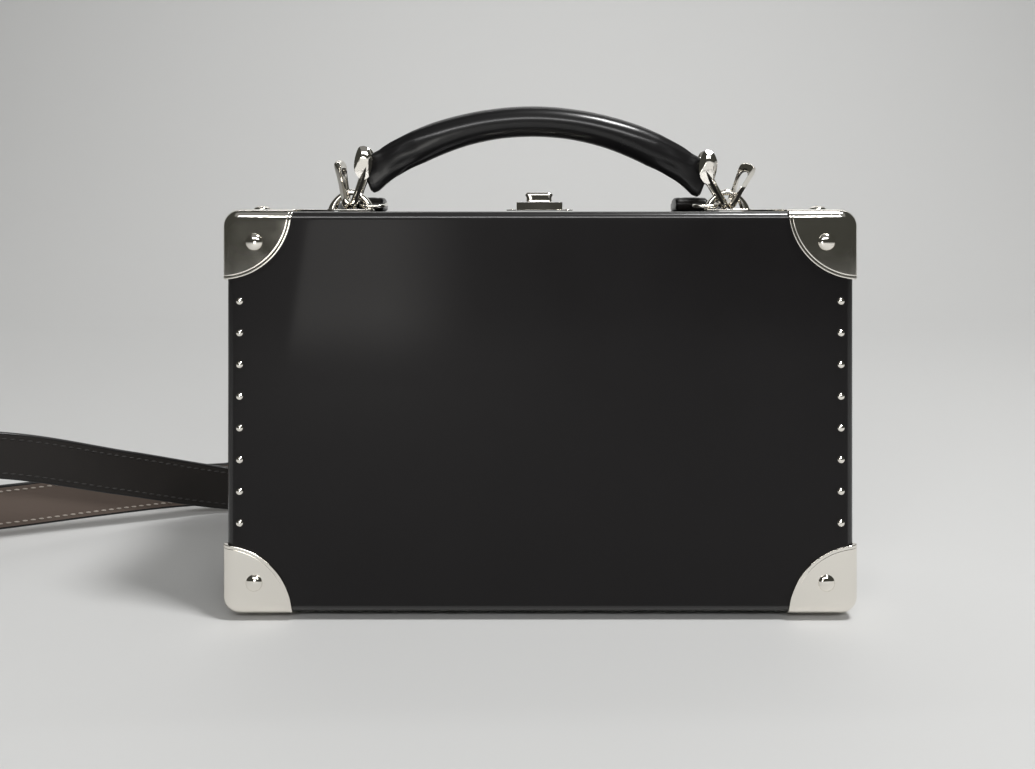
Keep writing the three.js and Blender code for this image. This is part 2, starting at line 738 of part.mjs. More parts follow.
function strapRun(rows, side) {
  return rows.map(({ out, behind, up, turn }) => ({
    at: new THREE.Vector3(
      THREE.MathUtils.lerp(strapX(side, strapEdgeOut), -strapReach, out),
      backY + behind * strapSweep,
      floorZ + up * caseHeight),
    turn,
    full: 1,
  }));
}

function strapRings() {
  const spacing = 11;
  const route = [
    ...strapOnTop(1), ...strapRun(rightRun, 1),
    ...strapRun(leftRun, -1).reverse(), ...strapOnTop(-1).reverse(),
  ];
  const line = new THREE.CatmullRomCurve3(route.map(({ at }) => at), false, 'centripetal');
  const steps = Math.round(line.getLength() / spacing);
  return Array.from({ length: steps + 1 }, (_, i) => {
    const t = line.getUtoTmapping(i / steps);
    const place = t * (route.length - 1);
    const low = Math.min(Math.floor(place), route.length - 2);
    const between = (name) => THREE.MathUtils.lerp(
      route[low][name], route[low + 1][name], place - low);
    const turn = radians(between('turn'));
    const across = new THREE.Vector3(Math.cos(turn), 0, -Math.sin(turn));
    const along = line.getTangent(t);
    across.addScaledVector(along, -across.dot(along)).normalize();
    const face = new THREE.Vector3().crossVectors(across, along);
    const halfWidth = THREE.MathUtils.lerp(strapEndWidth, strapWidth, between('full')) / 2;
    const halfThick = THREE.MathUtils.lerp(
      strapEndThickness, strapThickness, between('full')) / 2;
    const middle = line.getPoint(t);
    const reachDown = halfWidth * Math.abs(across.z) + halfThick * Math.abs(face.z);
    middle.z = Math.max(middle.z, floorZ + reachDown);
    return [[1, 1], [-1, 1], [-1, -1], [1, -1]].map(([a, b]) => middle.clone()
      .addScaledVector(across, a * halfWidth)
      .addScaledVector(face, b * halfThick));
  });
}

function addStrap(cutters) {
  const band = toSolid(loft(strapRings()));
  const cut = cutters.reduce((whole, cutter) => whole.subtract(cutter), band);
  addPiece('shoulder_strap', toGeometry(cut), 'strapLeather');
}

function widerWire(points, wire) {
  return toSolid(wireGeometry(points, wire + 2 * gap));
}

addPiece('case_back', caseShell({
  openY: backSeamY, closedY: backY, splits: [restPanelFront],
}), 'leather');
addPiece('case_lid', caseShell({ openY: lidSeamY, closedY: frontY }), 'leather');
addCorners();
addNails();
addLock();
addHinge();
addLoops();

const links = linkPaths();
['left', 'right'].forEach((side) => {
  const inner = `link_${side}_inner`;
  const outer = `link_${side}_outer`;
  addPiece(inner, toGeometry(innerLink(links[inner], side === 'left' ? -1 : 1)), 'nickel');
  addPiece(outer, wireGeometry(links[outer], linkWire), 'nickel');
});
addHandle([links.link_left_inner, links.link_right_inner]
  .map((path) => widerWire(path, linkWire)));

const rings = { strap_ring_left: ringPath(-1), strap_ring_right: ringPath(1) };
Object.entries(rings).forEach(([name, path]) => {
  addPiece(name, wireGeometry(path, ringWire), 'nickel');
});
addStrap(Object.values(rings).map((path) => widerWire(path, ringWire)));

export default group;
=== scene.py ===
import math

import bmesh
import bpy
import numpy as np
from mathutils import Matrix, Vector


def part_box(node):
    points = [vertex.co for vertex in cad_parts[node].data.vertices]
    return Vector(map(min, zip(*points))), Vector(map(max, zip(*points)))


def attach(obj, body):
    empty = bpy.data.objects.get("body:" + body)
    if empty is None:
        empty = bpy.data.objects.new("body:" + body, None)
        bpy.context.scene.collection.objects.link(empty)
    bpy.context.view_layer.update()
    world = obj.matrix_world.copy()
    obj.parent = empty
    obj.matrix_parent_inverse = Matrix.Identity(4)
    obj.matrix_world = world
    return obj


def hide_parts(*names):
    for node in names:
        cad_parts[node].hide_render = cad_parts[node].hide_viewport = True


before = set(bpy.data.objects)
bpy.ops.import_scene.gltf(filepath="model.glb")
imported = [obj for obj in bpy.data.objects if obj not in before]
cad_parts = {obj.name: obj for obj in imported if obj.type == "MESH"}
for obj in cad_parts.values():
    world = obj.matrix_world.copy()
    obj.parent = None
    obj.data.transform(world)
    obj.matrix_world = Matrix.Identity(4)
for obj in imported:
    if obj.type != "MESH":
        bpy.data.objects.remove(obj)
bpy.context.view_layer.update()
print("frame loaded")

mm = 0.001  # shapes are worked out in millimetres, meshes are in metres
scene = bpy.context.scene

# sizes of the case that several pieces share, in mm
case = dict(width=217, height=138.6, depth=80, lidDepth=30, wall=3, corner=4.6, edge=2.5,
            seamEdge=1.5, seamGap=0.3, gap=0.3, floor=-2.8)
halfWidth, halfHeight, halfDepth = case["width"] / 2, case["height"] / 2, case["depth"] / 2
seamY = case["lidDepth"] - halfDepth
topSeat = case["height"] + case["gap"]


# ---------- meshes


def gridFaces(rows, columns, start):
    # corners of the quads between neighbouring rows and columns of points
    i, j = np.meshgrid(np.arange(rows - 1), np.arange(columns - 1), indexing="ij")
    a = start + i * columns + j
    return np.stack([a, a + 1, a + columns + 1, a + columns], axis=-1).reshape(-1, 4)


def makePiece(name, grids, materials, body, nodes=(), uvs=None, kinds=None, sharp=35):
    # every grid (rows, columns, xyz in mm) becomes quads; points in the same place are merged,
    # so a grid whose first and last columns meet is closed. kinds picks a material per column.
    points, faces, uv, kind, start = [], [], [], [], 0
    for k, grid in enumerate(grids):
        rows, columns = grid.shape[:2]
        points.append(grid.reshape(-1, 3))
        faces.append(gridFaces(rows, columns, start))
        uv.append((uvs[k] if uvs else grid[..., :2]).reshape(-1, 2))
        one = kinds[k] if kinds else 0
        kind.append(np.broadcast_to(np.asarray(one), (rows - 1, columns - 1)).reshape(-1))
        start += rows * columns
    points, faces = np.concatenate(points), np.concatenate(faces)
    mesh = bpy.data.meshes.new(name)
    mesh.vertices.add(len(points))
    mesh.vertices.foreach_set("co", (points * mm).ravel())
    mesh.loops.add(faces.size)
    mesh.loops.foreach_set("vertex_index", faces.ravel())
    mesh.polygons.add(len(faces))
    mesh.polygons.foreach_set("loop_start", np.arange(len(faces)) * 4)
    mesh.update(calc_edges=True)
    mesh.polygons.foreach_set("material_index", np.concatenate(kind).astype(np.int32))
    layer = mesh.uv_layers.new(name="UVMap")
    layer.data.foreach_set("uv", (np.concatenate(uv)[faces.ravel()] * mm).ravel())
    for material in materials:
        mesh.materials.append(material)
    cleaned = bmesh.new()
    cleaned.from_mesh(mesh)
    bmesh.ops.remove_doubles(cleaned, verts=cleaned.verts, dist=2e-6)
    bmesh.ops.recalc_face_normals(cleaned, faces=cleaned.faces)
    cleaned.to_mesh(mesh)
    cleaned.free()
    mesh.shade_smooth()
    mesh.set_sharp_from_angle(angle=math.radians(sharp))
    piece = bpy.data.objects.new(name, mesh)
    scene.collection.objects.link(piece)
    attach(piece, body)
    if nodes:
        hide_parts(*nodes)
    return piece


def bevelledCopy(node, name, material, body, bevel):
    # the CAD node's own shape with its edges broken
    piece = bpy.data.objects.new(name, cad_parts[node].data.copy())
    scene.collection.objects.link(piece)
    copied = bmesh.new()
    copied.from_mesh(piece.data)
    bmesh.ops.remove_doubles(copied, verts=copied.verts, dist=1e-6)
    bmesh.ops.dissolve_limit(copied, angle_limit=math.radians(2), verts=copied.verts,
                             edges=copied.edges)
    copied.to_mesh(piece.data)
    copied.free()
    piece.data.materials.clear()
    piece.data.materials.append(material)
    edge = piece.modifiers.new("Broken edges", "BEVEL")
    edge.width, edge.segments, edge.limit_method = bevel * mm, 3, "ANGLE"
    edge.angle_limit = math.radians(40)
    piece.data.shade_smooth()
    piece.data.set_sharp_from_angle(angle=math.radians(35))
    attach(piece, body)
    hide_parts(node)
    return piece


def outline(width, height, radius, arcSteps=8, sideSteps=12):
    # closed rounded rectangle: a quarter circle at each corner, then an even straight side
    angles = np.linspace(0, np.pi / 2, arcSteps + 1)
    parts = []
    for quarter, (sx, sz) in enumerate([(1, 1), (-1, 1), (-1, -1), (1, -1)]):
        turned = angles + quarter * np.pi / 2
        centre = np.array([sx * (width / 2 - radius), sz * (height / 2 - radius)])
        parts.append(centre + radius * np.stack([np.cos(turned), np.sin(turned)], axis=-1))
    ring = []
    for arc, after in zip(parts, parts[1:] + parts[:1]):
        between = np.linspace(0, 1, sideSteps + 1)[1:-1, None]
        ring += [arc, arc[-1] + (after[0] - arc[-1]) * between]
    ring = np.concatenate(ring)
    return np.concatenate([ring, ring[:1]])


def quarter(radius, steps):
    # quarter round: how far in from the side, and how far along from the face
    angle = np.linspace(0, np.pi / 2, steps + 1)
    return list(zip(radius * (1 - np.sin(angle)), radius * (1 - np.cos(angle))))


def plate(low, high, radius, bevel, steps=3):
    # thin rounded plate: outlines at rising heights, drawn in at both faces to close them
    low, high = np.array(low, float), np.array(high, float)
    width, depth = high[:2] - low[:2]
    middle = (low + high) / 2
    edge = quarter(bevel, steps)
    closed = min(width, depth) / 2
    rows = [(closed, low[2])] + [(inset, low[2] + along) for inset, along in edge]
    rows += [(inset, high[2] - along) for inset, along in reversed(edge)] + [(closed, high[2])]
    return np.stack([np.concatenate([
        middle[:2] + outline(width - 2 * inset, depth - 2 * inset, max(radius - inset, 0.01), 4, 2),
        np.full((4 * 6 + 1, 1), z)], axis=1) for inset, z in rows])


def closedEnds(grid):
    # a row at each end that draws the end ring together at its middle
    start, end = (np.broadcast_to(grid[k, :-1].mean(axis=0), grid[:1].shape) for k in (0, -1))
    return np.concatenate([start, grid, end])


def tube(path, widths, heights, away, sides=24, power=1.0, closed=True):
    # section of a superellipse carried along a path: across leans away from the middle
    if closed:
        before, after = np.roll(path, 1, axis=0), np.roll(path, -1, axis=0)
    else:
        padded = np.concatenate([2 * path[:1] - path[1:2], path, 2 * path[-1:] - path[-2:-1]])
        before, after = padded[:-2], padded[2:]
    along = after - before
    along /= np.linalg.norm(along, axis=1, keepdims=True)
    side = away - along * np.sum(away * along, axis=1, keepdims=True)
    side /= np.linalg.norm(side, axis=1, keepdims=True)
    face = np.cross(along, side)
    angle = np.linspace(0, 2 * np.pi, sides + 1)
    c = np.sign(np.cos(angle)) * np.abs(np.cos(angle)) ** power
    s = np.sign(np.sin(angle)) * np.abs(np.sin(angle)) ** power
    grid = (path[:, None] + side[:, None] * (c[None, :, None] * np.reshape(widths, (-1, 1, 1)))
            + face[:, None] * (s[None, :, None] * np.reshape(heights, (-1, 1, 1))))
    return np.concatenate([grid, grid[:1]]) if closed else grid


def dome(point, direction, diameter, height, flange=0.0, sides=28):
    # low dome: radius r sin a and height h cos a from the crown out, then a short neck down
    angle = np.linspace(0, np.pi / 2, 9)
    radius = np.append(diameter / 2 * np.sin(angle), [diameter / 2, diameter / 2 - 0.2])
    rise = np.append(height * np.cos(angle), [-flange, -flange])
    radius, rise = np.append(radius, 0), np.append(rise, -flange)
    turn = np.linspace(0, 2 * np.pi, sides + 1)
    direction = np.array(direction, float)
    first = np.cross(direction, [0.3, 0.5, 0.81])
    first /= np.linalg.norm(first)
    second = np.cross(direction, first)
    ring = np.cos(turn)[:, None] * first + np.sin(turn)[:, None] * second
    return (np.array(point, float) + radius[:, None, None] * ring[None]
            + rise[:, None, None] * direction)


# ---------- materials


def colour(hexValue):
    # sRGB hex to linear
    channels = np.array([int(hexValue[i:i + 2], 16) for i in (0, 2, 4)]) / 255
    linear = np.where(channels <= 0.04045, channels / 12.92, ((channels + 0.055) / 1.055) ** 2.4)
    return (*linear.tolist(), 1.0)


def newMaterial(name):
    material = bpy.data.materials.new(name)
    material.use_nodes = True
    material.node_tree.nodes.clear()
    return material, material.node_tree


def addNode(tree, kind, values=None, links=None, **settings):
    # a node with its settings, its input values and the sockets that feed it
    node = tree.nodes.new(kind)
    for key, value in settings.items():
        setattr(node, key, value)
    for key, value in (values or {}).items():
        node.inputs[key].default_value = value
    for key, socket in (links or {}).items():
        tree.links.new(socket, node.inputs[key])
    return node


def finishMaterial(tree, shader):
    addNode(tree, "ShaderNodeOutputMaterial", links={"Surface": shader.outputs["BSDF"]})


def leather(name, base, worn, grain, roughness, coat, coatRoughness, relief, burnish=None):
    # calf leather, pigmented and ironed: fine pores, a satin face and a thin clear finish.
    # burnish is the finish on edges polished by handling, which catch the light as a band.
    material, tree = newMaterial(name)
    place = addNode(tree, "ShaderNodeTexCoord").outputs["Object"]
    pores = addNode(tree, "ShaderNodeTexVoronoi", {"Scale": 1000 / grain, "Randomness": 0.9},
                    {"Vector": place}, feature="SMOOTH_F1")
    creases = addNode(tree, "ShaderNodeTexNoise",
                      {"Scale": 1000 / 7, "Detail": 5.0, "Roughness": 0.6}, {"Vector": place})
    clouds = addNode(tree, "ShaderNodeTexNoise",
                     {"Scale": 1000 / 45, "Detail": 3.0, "Roughness": 0.55}, {"Vector": place})
    # sockets 6 and 7 are the two colours
    tone = addNode(tree, "ShaderNodeMix", {6: colour(base), 7: colour(worn)},
                   {"Factor": clouds.outputs["Fac"]}, data_type="RGBA")
    sheen = addNode(tree, "ShaderNodeMapRange",
                    {"From Min": 0.3, "From Max": 0.7, "To Min": roughness - 0.05,
                     "To Max": roughness + 0.06}, {"Value": clouds.outputs["Fac"]})
    height = addNode(tree, "ShaderNodeMath", {1: 0.35},
                     {0: creases.outputs["Fac"]}, operation="MULTIPLY")
    both = addNode(tree, "ShaderNodeMath", links={0: pores.outputs["Distance"],
                                                  1: height.outputs[0]}, operation="ADD")
    bump = addNode(tree, "ShaderNodeBump", {"Strength": relief, "Distance": 0.0001},
                   {"Height": both.outputs[0]})
    shader = addNode(tree, "ShaderNodeBsdfPrincipled",
                     {"IOR": 1.5, "Specular IOR Level": 0.17, "Coat Weight": coat,
                      "Coat Roughness": coatRoughness, "Coat IOR": 1.5},
                     {"Base Color": tone.outputs[2], "Roughness": sheen.outputs[0],
                      "Normal": bump.outputs[0]})
    if burnish:
        normal = addNode(tree, "ShaderNodeTexCoord").outputs["Normal"]
        axes = addNode(tree, "ShaderNodeSeparateXYZ", links={"Vector": normal})
        facing = addNode(tree, "ShaderNodeMath", links={0: axes.outputs["Y"]},
                         operation="ABSOLUTE")
        for socket, edge, flat in (("Coat Weight", burnish, coat),
                                   ("Coat Roughness", 3 * coatRoughness, coatRoughness)):
            finish = addNode(tree, "ShaderNodeMapRange",
                             {"From Min": 0.985, "From Max": 0.9995, "To Min": edge,
                              "To Max": flat}, {"Value": facing.outputs[0]})
            tree.links.new(finish.outputs[0], shader.inputs[socket])
    finishMaterial(tree, shader)
    return material


def nickelPlate(name, roughness, scratch):
    # nickel plate polished to a mirror: faint wiping marks and a slight warmth
    material, tree = newMaterial(name)
    place = addNode(tree, "ShaderNodeTexCoord").outputs["Object"]
    stretched = addNode(tree, "ShaderNodeMapping", {"Scale": (1, 1, 0.12)}, {"Vector": place})
    wiping = addNode(tree, "ShaderNodeTexNoise",
                     {"Scale": 1000 / 0.9, "Detail": 3.0}, {"Vector": stretched.outputs[0]})
    haze = addNode(tree, "ShaderNodeTexNoise",
                   {"Scale": 1000 / 11, "Detail": 2.0}, {"Vector": place})
    dull = addNode(tree, "ShaderNodeMapRange",
                   {"From Min": 0.35, "From Max": 0.7, "To Min": roughness * 0.7,
                    "To Max": roughness * 1.5}, {"Value": haze.outputs["Fac"]})
    bump = addNode(tree, "ShaderNodeBump", {"Strength": scratch, "Distance": 0.00002},
                   {"Height": wiping.outputs["Fac"]})
    shader = addNode(tree, "ShaderNodeBsdfPrincipled",
                     {"Base Color": colour("efebe3"), "Metallic": 1.0},
                     {"Roughness": dull.outputs[0], "Normal": bump.outputs[0]})
    finishMaterial(tree, shader)
    return material


def threadMaterial(name, base):
    # waxed linen thread: two plies twisted, seen as a slanting ripple
    material, tree = newMaterial(name)
    place = addNode(tree, "ShaderNodeTexCoord").outputs["Object"]
    twist = addNode(tree, "ShaderNodeTexWave", {"Scale": 1000 / 1.2, "Distortion": 1.5},
                    {"Vector": place}, bands_direction="DIAGONAL")
    bump = addNode(tree, "ShaderNodeBump", {"Strength": 0.4, "Distance": 0.0001},
                   {"Height": twist.outputs["Fac"]})
    shader = addNode(tree, "ShaderNodeBsdfPrincipled",
                     {"Base Color": colour(base), "Roughness": 0.6}, {"Normal": bump.outputs[0]})
    finishMaterial(tree, shader)
    return material


caseLeather = leather("black calf leather of the case", "0d0b0c", "121011", 0.55, 0.4,
                      0.12, 0.06, 0.12, burnish=1.0)
handleLeather = leather("black glazed leather of the handle", "101011", "1a191a", 0.7, 0.3,
                        0.4, 0.19, 0.1)
strapLeather = leather("black leather of the strap", "1d1b1a", "292624", 0.6, 0.42,
                       0.15, 0.25, 0.25)
liningLeather = leather("taupe lining leather of the strap", "5d524c", "6b5f57", 0.5, 0.6,
                        0.0, 0.4, 0.3)
edgePaint = leather("black edge paint of the strap", "121111", "191818", 1.2, 0.35,
                    0.3, 0.15, 0.1)
nickel = nickelPlate("polished nickel plate", 0.07, 0.02)
darkThread = threadMaterial("black waxed thread", "242220")
paleThread = threadMaterial("grey waxed thread", "a59c92")
print("materials made")


# ---------- case: two hollow shells


def shellRows(openY, closedY):
    # profile from the middle of the panel over its edge to the seam, and back along the wall
    way = np.sign(closedY - openY)
    wall, collapse = case["wall"], halfHeight
    rows = [(inset, closedY) for inset in (collapse, 52, 36, 22, 12, 6, 3.4)]
    rows += [(inset, closedY - way * along) for inset, along in quarter(case["edge"], 8)]
    sides = np.linspace(closedY - way * case["edge"], openY + way * case["seamEdge"], 8)[1:-1]
    rows += [(0, y) for y in sides]
    rows += [(inset, openY + way * along) for inset, along in
             reversed(quarter(case["seamEdge"], 6))]
    rows += [(wall, openY), (wall, openY + way * 2)]
    rows += [(wall, closedY - way * (wall + 1.5)), (wall + 1.5, closedY - way * wall)]
    rows += [(inset, closedY - way * wall) for inset in (15, 40, collapse)]
    return rows


def caseShell(openY, closedY):
    rings = []
    for inset, y in shellRows(openY, closedY):
        radius = max(case["corner"] - inset, 1.2 if inset < halfHeight else 0.0)
        flat = outline(case["width"] - 2 * inset, case["height"] - 2 * inset, radius, 8, 24)
        rings.append(np.stack([flat[:, 0], np.full(len(flat), y), halfHeight + flat[:, 1]], -1))
    return np.stack(rings)


makePiece("caseLid", [caseShell(seamY - case["seamGap"] / 2, -halfDepth)], [caseLeather],
          "lid", ["case_lid"])
makePiece("caseBack", [caseShell(seamY + case["seamGap"] / 2, halfDepth)], [caseLeather],
          "back", ["case_back"])
print("case made")


# ---------- metal corners, their rivets and the nails

cap = dict(reach=24.3, side=1.5, face=0.8, outline=6.0, edge=3.2, rivetInset=11.3,
           rivet=5.8, rivetHeight=1.3, footHeight=2.0, flushHeight=0.35)
nail = dict(count=8, diameter=2.7, height=1.0, inset=4.7, space=7.5)


def roundBox(x, y, z, hx, hy, hz, outlineRadius, edgeRadius):
    # from a sharp box to a rounded one. First the four edges along y: squares round a corner
    # of the outline become circles. Then the edges of the front and back faces: a point keeps
    # its direction from the core of the edge and moves onto the edge's circle.
    signX, signY, signZ = np.sign(x), np.sign(y), np.sign(z)
    x, y, z = np.abs(x), np.abs(y), np.abs(z)
    qx, qz = np.maximum(x - (hx - outlineRadius), 0), np.maximum(z - (hz - outlineRadius), 0)
    length = np.hypot(qx, qz)
    squeeze = np.where(length > 0, np.maximum(qx, qz) / np.maximum(length, 1e-9), 1)
    squeeze = np.where((qx > 0) & (qz > 0), squeeze, 1)
    x = np.where(qx > 0, hx - outlineRadius + qx * squeeze, x)
    z = np.where(qz > 0, hz - outlineRadius + qz * squeeze, z)
    qx, qz = qx * squeeze, qz * squeeze
    inCorner = (qx > 0) & (qz > 0)
    length = np.maximum(np.hypot(qx, qz), 1e-9)
    inset = np.where(inCorner, outlineRadius - length, np.minimum(hx - x, hz - z))
    sideways = hx - x < hz - z
    nx = np.where(inCorner, qx / length, np.where(sideways, 1.0, 0.0))
    nz = np.where(inCorner, qz / length, np.where(sideways, 0.0, 1.0))
    a = np.maximum(edgeRadius - inset, 0)
    b = np.maximum(edgeRadius - (hy - y), 0)
    squeeze = np.where((a > 0) & (b > 0), np.maximum(a, b) / np.maximum(np.hypot(a, b), 1e-9), 1)
    x = x - nx * a * (1 - squeeze)
    z = z - nz * a * (1 - squeeze)
    y = y - b * (1 - squeeze)
    return np.stack([x * signX, y * signY, z * signZ], axis=-1)


def capGrid(sx, sy, sz):
    # polar grid round the corner point: rho is the distance from it, and the angle runs over
    # the front, the side and the top face, 90 degrees each. Each row has its own lift.
    skin = [(rho, 0) for rho in (0, 1, 2.2, 3.4, 4.6, 5.8, 7, 9, 12, 16, 20, 22, 22.7, 23)]
    rim = [(23.08, -0.03), (23.15, -0.06), (23.22, -0.03), (23.3, 0.01), (23.4, 0.03),
           (23.6, 0.03), (23.9, 0.03), (24.15, 0.02), (24.22, -0.02), (24.28, -0.1),
           (24.3, -0.25), (24.3, -0.7), (24.1, -0.76), (23.2, -0.7)]
    inside = [(22, -0.5), (12, -0.5), (6, -0.5), (3, -0.5), (0, -0.5)]
    rho, lift = np.array(skin + rim + inside, float).T
    angle = np.linspace(0, 1.5 * np.pi, 3 * 36 + 1)
    third = np.minimum((angle // (np.pi / 2)).astype(int), 2)
    inner = angle - third * np.pi / 2
    across, up = np.outer(rho, np.cos(inner)), np.outer(rho, np.sin(inner))
    zero = np.zeros_like(across)
    dx = np.choose(third, [across, zero, up])
    dz = np.choose(third, [up, across, zero])
    dy = np.choose(third, [zero, up, across])
    lift = lift[:, None] + zero
    sideLift = np.where(lift < -0.3, lift * 1.85, lift)
    hx = halfWidth + cap["side"] + sideLift
    hy = halfDepth + cap["face"] + lift
    hz = halfHeight + cap["face"] + lift
    # the lift moves a point along its own face only, and eases out within 3 mm of an edge
    keep = [np.clip(1 - d / 3, 0, 1) for d in (dx, dy, dz)]
    x = halfWidth + cap["side"] + sideLift * keep[0] - dx
    y = halfDepth + cap["face"] + lift * keep[1] - dy
    z = halfHeight + cap["face"] + lift * keep[2] - dz
    grid = roundBox(x, y, z, hx, hy, hz, cap["outline"] + lift, cap["edge"] + lift)
    return grid * [sx, sy, sz] + [0, 0, halfHeight]


def capRivets(sx, sy, sz):
    x, y = halfWidth + cap["side"], halfDepth + cap["face"]
    z = halfHeight + cap["face"]
    inset, high = cap["rivetInset"], cap["rivetHeight"]
    # feet under the case, and nearly flush heads on the back half of the top
    topHigh = cap["footHeight"] if sz < 0 else (high if sy < 0 else cap["flushHeight"])
    flip = np.array([sx, sy, sz])
    spots = [((x - inset, y, z - inset), (0, 1, 0), high),
             ((x - inset, y - inset, z), (0, 0, 1), topHigh),
             ((x, y - inset, z - inset), (1, 0, 0), high)]
    return [dome(np.array(at) * flip + [0, 0, halfHeight], np.array(way) * flip,
                 cap["rivet"], height, 0.15) for at, way, height in spots]


for half, sy in (("lid", -1), ("back", 1)):
    for level, sz in (("bottom", -1), ("top", 1)):
        for side, sx in (("left", -1), ("right", 1)):
            makePiece(f"cornerCap_{half}_{level}_{side}",
                      [capGrid(sx, sy, sz)] + capRivets(sx, sy, sz), [nickel], half,
                      [f"corner_{half}_{level}_{side}"], sharp=50)
    lowest = cap["reach"] - cap["face"] + nail["space"]
    highest = case["height"] - cap["reach"] + cap["face"] - nail["space"]
    heads = [dome((sx * (halfWidth - nail["inset"]), sy * (halfDepth + 0.1), z), (0, sy, 0),
                  nail["diameter"], nail["height"], sides=20)
             for sx in (-1, 1) for z in np.linspace(lowest, highest, nail["count"])]
    names = [f"nail_{half}_{side}_{i + 1}" for side in ("left", "right")
             for i in range(nail["count"])]
    makePiece(f"nails_{half}", heads, [nickel], half, names, sharp=50)
print("corners and nails made")


# ---------- turn lock and hinge

lock = dict(knobWidth=10.5, knobDepth=4.6, knobHeight=3.5, knobBottom=142.3, spindle=1.5,
            spindleHeights=(139.8, 141, 142.4), spindleY=-3.4, plateTop=139.3, screwX=10.2,
            backScrewY=-2.2, lidScrewY=-15.6)


def knobGrid():
    # waisted bar with round ends: a superellipse outline scaled by height, closed at both ends
    share = np.array([0, 0, 0.06, 0.3, 0.5, 0.62, 0.7, 0.78, 0.97, 1, 1])
    scale = np.array([0, 0.9, 0.94, 0.9, 0.92, 0.97, 1, 1, 0.9, 0.86, 0])
    deep = np.array([0, 0.9, 0.95, 0.95, 0.95, 0.95, 0.95, 0.95, 0.8, 0.74, 0])
    angle = np.linspace(0, 2 * np.pi, 65)
    c = np.sign(np.cos(angle)) * np.abs(np.cos(angle)) ** 0.4
    s = np.sign(np.sin(angle)) * np.abs(np.sin(angle)) ** 0.4
    x = np.outer(scale, c) * lock["knobWidth"] / 2
    y = np.outer(deep, s) * lock["knobDepth"] / 2 + lock["spindleY"]
    z = np.outer(share, np.ones_like(c)) * lock["knobHeight"] + lock["knobBottom"]
    return np.stack([x, y, z], axis=-1)


def spindleGrid():
    # round post under the knob, closed at both ends by a row of no size
    low, middle, high = lock["spindleHeights"]
    path = np.array([[0, lock["spindleY"], z] for z in (low, low, middle, high, high)], float)
    path[:, 2] += [0, 0.001, 0, 0, 0.001]
    size = np.array([0.001, lock["spindle"], lock["spindle"], lock["spindle"], 0.001])
    away = np.tile([1.0, 0, 0], (5, 1))
    return tube(path, size, size, away, sides=24, closed=False)


def screw(x, y):
    # slotless countersunk head: a low dome sunk in the plate
    return dome((x, y, lock["plateTop"] - 0.02), (0, 0, 1), 1.9, 0.28, sides=20)


makePiece("lockKnob", [knobGrid(), spindleGrid()], [nickel], "knob", ["lock_knob"],
          sharp=40)
bevelledCopy("lock_hasp", "lockHasp", nickel, "lid", 0.22)
low, high = (np.array(corner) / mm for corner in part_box("lock_plate"))
makePiece("lockPlate", [plate(low, high, 0.8, 0.2)]
          + [screw(sx * lock["screwX"], lock["backScrewY"]) for sx in (-1, 1)], [nickel],
          "back", ["lock_plate"], sharp=40)
makePiece("lockScrews", [screw(sx * lock["screwX"], lock["lidScrewY"]) for sx in (-1, 1)],
          [nickel], "lid", sharp=40)
bevelledCopy("hinge_back", "hingeBack", nickel, "back", 0.1)
bevelledCopy("hinge_lid", "hingeLid", nickel, "lid", 0.1)
print("lock and hinge made")


# ---------- rolled handle

# it hangs a little to the left, with its left end a little higher
handle = dict(top=34.5, rise=23.0, shortOfLoop=6.8, thick=11.7, tabWidth=16.3, tabThick=5.2,
              lift=1.85, shift=1.3, tilt=0.7, eyeletInset=1.6, eyeletRaise=5.2)
loop = dict(centre=72.0, halfWidth=8.9, height=8.4, hole=5.3, holeHeight=5.2, thick=3.6,
            plate=0.7, plateDepth=7.4)
handleSpan = loop["centre"] - handle["shortOfLoop"]
handleRadius = (handleSpan ** 2 + handle["rise"] ** 2) / (2 * handle["rise"])
handleAngle = math.asin(handleSpan / handleRadius)

# share of the half arc; how far the section has flared and been pressed flat, how far it
# stands upright, how full it is, and how far it is raised off the arc
handleTable = np.array([
    [0, 0, 0, 0, 1, 0], [0.2, 0, 0, 0, 1, 0], [0.4, 0.1, 0.04, 0, 1, 0],
    [0.54, 0.24, 0.12, 0, 1, 0], [0.66, 0.3, 0.3, 0, 1, 0], [0.76, 0.17, 0.55, 0, 1, 0],
    [0.85, 0.06, 0.82, 0.02, 1, 0], [0.92, 0.3, 0.96, 0.12, 1, 0.15],
    [0.965, 0.75, 1, 0.32, 1, 0.5], [0.99, 1, 1, 0.46, 0.95, 0.9], [1, 1, 1, 0.5, 0.8, 1]])


def handlePoint(along):
    angle = handleAngle * np.asarray(along, float)
    aside = handleRadius * np.sin(angle)
    fall = handleRadius * (1 - np.cos(angle)) + aside * math.tan(math.radians(handle["tilt"]))
    return np.stack([aside - handle["shift"], 0 * angle,
                     case["height"] + handle["top"] - fall], -1)


def eyeletPoint(sx):
    # middle of the hole in the handle's end
    point = handlePoint(sx * (1 - handle["eyeletInset"] / (handleRadius * handleAngle)))
    return point + [0, 0, handle["eyeletRaise"]]


def bump(value, middle, spread):
    return np.exp(-((value - middle) / spread) ** 2)


